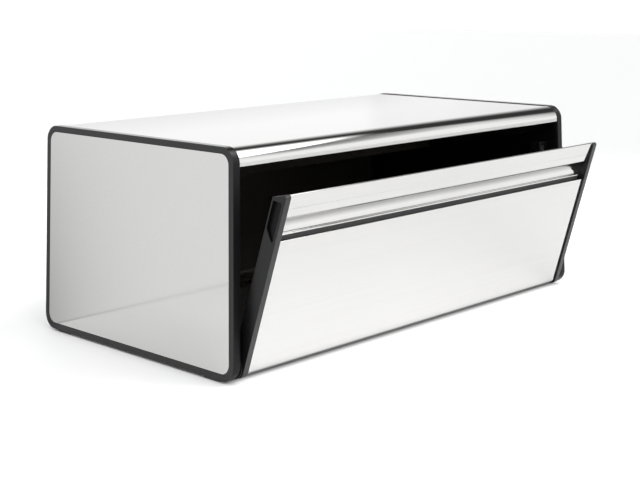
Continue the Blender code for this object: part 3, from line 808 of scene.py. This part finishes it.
for sx, side in ((-1, "left"), (1, "right")):
    door_cap(sx, side)
    for end, z in SCREW_ZS:
        at = Vector((sx * (PANEL_X - 0.0048), REAR + GAP - 0.0056, z))
        prof = [(0.0, 0.0), (0.0, 0.0004), (0.0006, 0.0011)]
        a = 0.0009
        while a < 0.0052:
            prof += [(a, 0.00090), (a + 0.0002, 0.0011)]
            a += 0.0004
        prof += [(0.0056, 0.0011), (0.0056, 0.0023), (0.0057, 0.0024), (0.0060, 0.0024),
                 (0.0064, 0.0022), (0.0066, 0.0018), (0.0068, 0.0011), (0.0068, 0.0)]
        s = put(f"screw_door_{end}_{side}", lathe(prof, at, (0, 1, 0), 40), M_PIN,
                smooth=40, at=TO_DOOR)
        t_at = at + Vector((0, 0.0068, 0))
        axis = Vector((0, 1, 0))
        turn = Vector((0, 0, 1)).rotation_difference(axis).to_matrix().to_4x4()
        for k in range(2):
            bm = bmesh.new()
            bmesh.ops.create_cube(bm, size=1.0, matrix=Matrix.Diagonal(
                (0.0024, 0.0006, 0.0018, 1.0)))
            for v in bm.verts:
                if v.co.z < 0:
                    v.co.x *= 0.45
                    v.co.y *= 0.6
            bmesh.ops.transform(bm, matrix=Matrix.Translation(t_at) @ turn
                                @ Matrix.Rotation(k * math.pi / 2 + 0.4, 4, "Z"),
                                verts=bm.verts[:])
            cut(s, put(f"dx_{end}_{side}_{k}", bm, None, tools, None, at=TO_DOOR))
        settle(s, 40)
        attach(s, "door")
        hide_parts(f"door_screw_{end}_{side}")
    # small CAD parts keep their shape and take finished materials
    for n, m in ((f"hinge_pin_{side}", M_PIN), (f"magnet_holder_{side}", M_CAP),
                 (f"catch_magnet_{side}", M_MAGNET), (f"hinge_bush_{side}", M_CAP),
                 (f"strike_plate_{side}", M_PIN)):
        o = nodes[n]
        o.data.materials.clear()
        o.data.materials.append(m)

# -------------------------------------------------------- floor, wall, light
FLOOR_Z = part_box("foot_front_left")[0].z
DOME, FILL, SOFTBOX = 1.25, 1.2, 5.0
# strength of the painted glow on the tabletop in front of the bin
FRONT_GLOW = 0.33


def pale(name, near, far, rough):
    """Pale tabletop with painted light: its colour a touch darker far away, and a painted glow in
    front.
    """
    g = Graph(name)
    at = g.coords()
    soft = g.noise(at, 3.0, 3.0, 0.5)
    fine = g.noise(at, 300.0, 2.0, 0.5)
    dist = g.node("ShaderNodeVectorMath")
    dist.operation = "LENGTH"
    g.link(at, dist.inputs[0])
    # painted light: the tabletop's colour is brighter near the bin and darker far away
    away = g.span(dist.outputs["Value"], 0.55, 1.3, 0.0, 1.0, True)
    base = g.mix(away, near, far)
    base = g.mix(g.math("MULTIPLY", g.span(soft, 0.3, 0.7, 1, 0), 0.02), base, (0, 0, 0))
    sep = g.node("ShaderNodeSeparateXYZ")
    g.link(at, sep.inputs[0])
    # painted shade: left of the bin the tabletop's colour darkens towards the wall's foot
    fall = g.math("MULTIPLY", g.span(sep.outputs[0], -0.45, -0.28, 0.18, 0.0),
                  g.span(sep.outputs[1], -0.15, -0.02, 0.0, 1.0, True))
    base = g.mix(fall, base, (0, 0, 0))
    # contact shade under the bin and right below the door's foot
    under = g.math("MULTIPLY", g.span(sep.outputs[1], -0.1245, -0.1205, 0.0, 1.0, True),
                   g.span(g.math("ABSOLUTE", sep.outputs[0]), 0.2215, 0.2315, 1.0, 0.0, True))
    under = g.math("MULTIPLY", under, g.span(sep.outputs[1], 0.10, 0.12, 1.0, 0.0, True))
    base = g.mix(g.math("MULTIPLY", under, 0.55), base, (0, 0, 0))
    g.link(base, g.bsdf.inputs["Base Color"])
    g.link(g.span(soft, 0.3, 0.7, rough - 0.03, rough + 0.03), g.bsdf.inputs["Roughness"])
    g.link(g.bump(fine, 0.03, 0.0002), g.bsdf.inputs["Normal"])
    g.bsdf.inputs["Specular IOR Level"].default_value = 0.25
    y = sep.outputs[1]
    # painted light: the tabletop in front of the bin glows, strongest just in front of the door, fading
    # further out and to the sides
    lit = g.math("MULTIPLY", g.span(y, -0.132, -0.122, 1.0, 0.0, True),
                 g.span(y, -0.25, -0.132, 0.3, 1.0))
    lit = g.math("MULTIPLY", lit, g.span(y, -0.45, -0.25, 0.0, 1.0, True))
    lit = g.math("MULTIPLY", lit, g.span(sep.outputs[0], -0.235, -0.19, 0.0, 1.0, True))
    lit = g.math("MULTIPLY", lit, g.span(sep.outputs[0], 0.28, 0.60, 1.0, 0.0, True))
    lit = g.math("MULTIPLY", lit, g.span(sep.outputs[0], -0.05, 0.25, 1.0, 0.62, True))
    g.bsdf.inputs["Emission Color"].default_value = (1, 1, 1, 1)
    # painted light: right at the door's foot the tabletop glows for camera rays only, lightening the
    # shade there
    seen = g.node("ShaderNodeLightPath").outputs["Is Camera Ray"]
    foot_glow = g.math("MULTIPLY", g.span(y, -0.1185, -0.1098, 0.64, 0.0),
                  g.span(y, -0.150, -0.130, 0.0, 1.0, True))
    foot_glow = g.math("MULTIPLY", foot_glow, g.span(g.math("ABSOLUTE", sep.outputs[0]),
                                           0.2200, 0.2330, 1.0, 0.0, True))
    foot_glow = g.math("MULTIPLY", foot_glow, seen)
    g.link(g.math("ADD", g.math("MULTIPLY", lit, FRONT_GLOW), foot_glow),
           g.bsdf.inputs["Emission Strength"])
    return g.mat


def plane(name, corners, mat):
    bm = bmesh.new()
    bm.faces.new([bm.verts.new(c) for c in corners])
    mesh = bpy.data.meshes.new(name)
    bm.to_mesh(mesh)
    bm.free()
    mesh.materials.append(mat)
    o = bpy.data.objects.new(name, mesh)
    scene.collection.objects.link(o)
    return o


FAR = 6.0
WALL_Y = 0.1275
plane("floor", [(-FAR, -FAR, FLOOR_Z), (FAR, -FAR, FLOOR_Z), (FAR, FAR, FLOOR_Z),
                (-FAR, FAR, FLOOR_Z)], pale("floor_pale", (0.88, 0.88, 0.88), (0.63, 0.63, 0.63), 0.55))


def backdrop(name):
    """Pale wall close behind the bin: a glow with its light and shade painted in, there only for what
    the
    polished sheet reflects: one-sided, and open just behind the bin."""
    g = Graph(name)
    at = g.coords()
    sep = g.node("ShaderNodeSeparateXYZ")
    g.link(at, sep.inputs[0])
    x, y, z = sep.outputs
    beside = g.math("GREATER_THAN", g.math("ABSOLUTE", x), X_OUT + 0.0003)
    above = g.math("GREATER_THAN", z, SHELL_TOP + 0.0004)
    solid = g.math("MAXIMUM", beside, above)
    geo = g.node("ShaderNodeNewGeometry")
    solid = g.math("MULTIPLY", solid, g.math("SUBTRACT", 1.0, geo.outputs["Backfacing"]))
    # the bin's own soft shade on the wall, strongest low down beside it
    out = g.math("SUBTRACT", g.math("ABSOLUTE", x), X_OUT)
    shade = g.math("EXPONENT", g.math("MULTIPLY", g.math("MAXIMUM", out, 0.0), -1 / 0.060))
    shade = g.math("MULTIPLY", shade, g.span(z, 0.0, 0.18, 0.50, 0.14))
    shade = g.math("MULTIPLY", shade, g.span(z, 0.18, 0.20, 1.0, 0.0))
    # painted light and shade: the glow is weaker where the bin's shade falls, and a little dimmer right
    # of the bin and further right again
    tone = g.math("MULTIPLY", g.math("SUBTRACT", 1.0, shade),
                  g.span(x, 0.20, 0.245, 1.0, 0.92, True))
    tone = g.math("MULTIPLY", tone, g.span(x, 0.34, 0.50, 1.0, 0.93, True))
    tone = g.math("MULTIPLY", tone, g.span(x, -0.24, -0.20, 1.0, 1.0, True))
    # painted shade along the joint between table and wall
    tone = g.math("MULTIPLY", tone, g.span(z, FLOOR_Z + 0.0010, FLOOR_Z + 0.0022,
                                           0.80, 1.0, True))
    # dimmer towards its top edge
    tone = g.math("MULTIPLY", tone, g.span(z, 0.217, 0.262, 1.0, 0.84, True))
    soft = g.noise(at, 3.0, 3.0, 0.5)
    tone = g.math("MULTIPLY", tone, g.span(soft, 0.3, 0.7, 0.985, 1.0))
    glow = g.node("ShaderNodeEmission")
    glow.inputs["Color"].default_value = (0.995, 0.997, 1.0, 1.0)
    g.link(g.math("MULTIPLY", tone, WALL), glow.inputs["Strength"])
    clear = g.node("ShaderNodeBsdfTransparent")
    mix = g.node("ShaderNodeMixShader")
    g.link(solid, mix.inputs[0])
    g.link(clear.outputs[0], mix.inputs[1])
    g.link(glow.outputs[0], mix.inputs[2])
    g.link(mix.outputs[0], g.out.inputs["Surface"])
    g.tree.nodes.remove(g.bsdf)
    return g.mat


WALL = 1.19
wall = plane("wall", [(-2.0, WALL_Y, FLOOR_Z), (2.0, WALL_Y, FLOOR_Z), (2.0, WALL_Y, 0.27),
                      (-2.0, WALL_Y, 0.27)], backdrop("wall_pale"))
wall.visible_camera = False
wall.visible_diffuse = False
wall.visible_shadow = False
wall.visible_transmission = False

# the studio: an even dome, a big soft box high on the right, fill from the
# front, and the unlit side of the room next to the soft box
world = bpy.data.worlds.new("studio")
scene.world = world
world.use_nodes = True
wt = world.node_tree
bg = wt.nodes["Background"]
bg.inputs["Strength"].default_value = 1.0


class Sky(Graph):
    def __init__(self, tree):
        self.tree = tree


w = Sky(wt)
tc = w.node("ShaderNodeTexCoord")
sep = w.node("ShaderNodeSeparateXYZ")
w.link(tc.outputs["Generated"], sep.inputs[0])
sxo, syo, szo = sep.outputs
# azimuth from +Y towards +X and elevation, both in degrees
az = w.math("MULTIPLY", w.math("ARCTAN2", sxo, syo), 180 / math.pi)
el = w.math("MULTIPLY", w.math("ARCSINE", szo), 180 / math.pi)
front_az = w.math("ABSOLUTE", az)


def both(a, b):
    return w.math("MULTIPLY", a, b)


def low(a, b):
    return w.math("MINIMUM", a, b)


# lower edge of the soft box
u = w.math("MAXIMUM", w.math("SUBTRACT", az, 93.0), 0.0)
bend = w.math("MAXIMUM", w.math("SUBTRACT", u, 8.0), 0.0)
edge = w.math("SUBTRACT", 42.0, w.math("ADD", w.math("MULTIPLY", u, 0.10),
                                      w.math("MULTIPLY", both(bend, bend), 0.0134)))
under = w.math("SUBTRACT", edge, el)
near = w.span(az, 76.0, 110.0, 0, 1)
box = both(both(near, near), w.span(az, 146.0, 152.0, 1, 0, True))
box = both(box, w.span(under, -1.0, 0.6, 1, 0, True))
box = both(box, w.span(el, 58.0, 64.0, 1, 0, True))
# unlit side of the room
AZ_L0, AZ_L1, AZ_LK, LEFT_RISE = 6.6, 86.2, 1.448, 0.298
az_l = w.math("ADD", az, w.math("MULTIPLY", w.math("SUBTRACT", el, 33.0), AZ_LK))
az_r = w.math("ADD", az, w.math("MULTIPLY", w.math("SUBTRACT", el, 30.0), 0.5))
lit_left = both(w.span(az_l, AZ_L0, AZ_L1, 1.0, 0.034, True),
                w.math("ADD", 1.0, both(w.span(el, 10.0, 28.0, 0.0, LEFT_RISE, True),
                                        w.span(az, 25.0, 42.0, 0.0, 1.0, True))))
lit_right = low(w.span(az_r, 104.5, 116.5, 0.034, 1.0, True),
                w.math("MAXIMUM", w.span(under, 1.5, 10.5, 0.22, 1.0),
                       w.span(az, 126.0, 136.0, 0.2, 1.0)))
lit = w.math("MAXIMUM", lit_left, lit_right)
lit = w.math("MAXIMUM", lit, w.span(el, 10.0, 17.0, 1, 0, True))
lit = w.math("MAXIMUM", lit, w.span(el, 56.0, 66.0, 0, 1, True))
# even dome, a little dimmer to the far right, brighter in front
dome = w.span(az, 47.0, 51.0, DOME * 1.06, DOME * 0.94, True)
dome = w.math("MAXIMUM", dome, w.span(az, 60.0, 100.0, 0.0, DOME, True))
fill = both(w.span(front_az, 138.0, 150.0, 0, 1, True),
            both(w.span(el, 4.0, 14.0, 0, 1, True), w.span(el, 48.0, 58.0, 1, 0, True)))
low_right = both(both(w.span(az, 116.0, 122.0, 0, 1, True),
                      w.span(az, 138.0, 146.0, 1, 0, True)),
                 w.span(el, 18.0, 24.0, 1, 0, True))
dome = both(dome, w.math("ADD", 1.0, w.math("MULTIPLY", low_right, 0.17)))
dome = w.math("ADD", dome, w.math("MULTIPLY", fill, FILL))
level = w.math("ADD", both(dome, lit), w.math("MULTIPLY", box, SOFTBOX))
col = w.node("ShaderNodeCombineXYZ")
for i, k in enumerate((0.995, 0.998, 1.0)):
    w.link(w.math("MULTIPLY", level, k), col.inputs[i])
w.link(col.outputs[0], bg.inputs["Color"])

# ------------------------------------------------------------------ camera
cam = bpy.data.cameras.new("camera")
cam.sensor_width = 36.0
cam.lens = 71.7072
cam.clip_start, cam.clip_end = 0.01, 100.0
eye = bpy.data.objects.new("camera", cam)
scene.collection.objects.link(eye)
CAM_AT = (-0.9178, -0.8640, 0.3069)
eye.location = CAM_AT
eye.rotation_mode = "XYZ"
eye.rotation_euler = [math.radians(a) for a in (94.3533, 0.299, -45.5171)]
# lens shift, only at this viewpoint: any other view is centred
for shift, amount in (("shift_x", 0.04287), ("shift_y", -0.55133)):
    drv = cam.driver_add(shift).driver
    drv.type = "SCRIPTED"
    for n, axis in (("x", "LOC_X"), ("y", "LOC_Y")):
        v = drv.variables.new()
        v.name = n
        v.type = "TRANSFORMS"
        v.targets[0].id = eye
        v.targets[0].transform_type = axis
        v.targets[0].transform_space = "WORLD_SPACE"
    drv.expression = (f"{amount} if abs(x - {CAM_AT[0]}) < 0.001 "
                      f"and abs(y - {CAM_AT[1]}) < 0.001 else 0.0")
scene.camera = eye

scene.view_settings.view_transform = "Standard"
scene.view_settings.look = "None"

for t in list(tools.objects):
    bpy.data.objects.remove(t, do_unlink=True)

bpy.context.view_layer.update()
